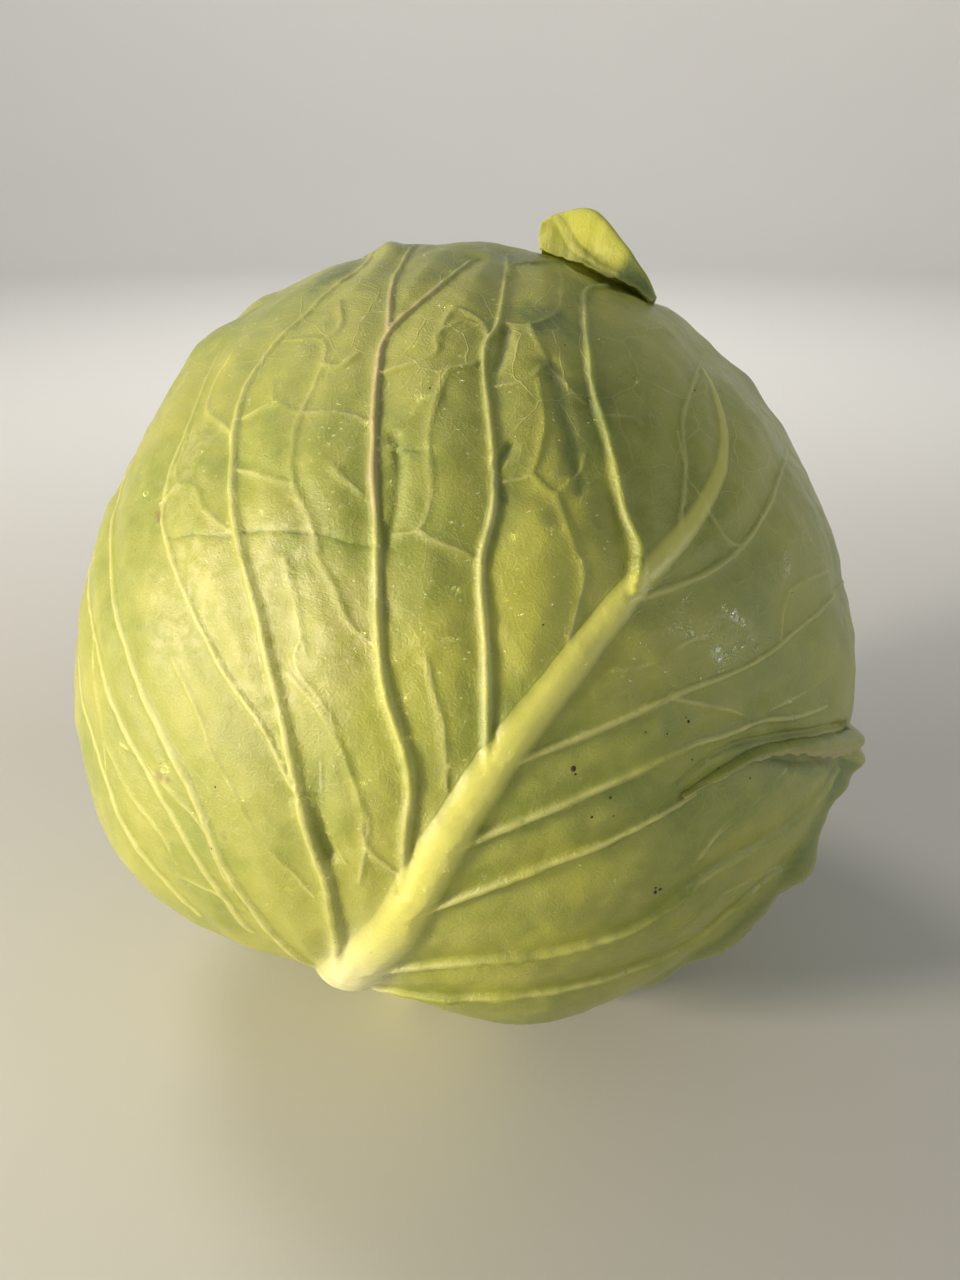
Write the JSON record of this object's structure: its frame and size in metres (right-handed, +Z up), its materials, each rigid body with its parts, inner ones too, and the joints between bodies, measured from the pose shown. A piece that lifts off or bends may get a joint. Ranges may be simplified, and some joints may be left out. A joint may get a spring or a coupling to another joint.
{
  "type": "head of white cabbage",
  "caption": "Whole head of white cabbage lying on its side, with wrapper leaves, raised ribs and a cut stem.",
  "frame": {"origin": "middle of the head's footprint, on the surface that it rests on", "axes": "+Z up; -Y towards the side with the large front leaf, whose midrib runs up to the right; +X to the right as that side is seen"},
  "size_m": [0.1798, 0.1836, 0.1817],
  "materials": {
    "outer_leaf": "waxy satin leaf blade, yellow-green, with paler raised veins",
    "inner_leaf": "waxy satin leaf blade, paler green",
    "heart_leaf": "pale yellow-green packed leaves",
    "stem_flesh": "cream cut stem, dry and slightly browned at the rim"
  },
  "bodies": {
    "root": {"front_leaf": "outer_leaf", "back_leaf": "outer_leaf", "left_leaf": "outer_leaf", "inner_leaf": "inner_leaf", "heart": "heart_leaf", "stem": "stem_flesh"}
  },
  "joints": []
}
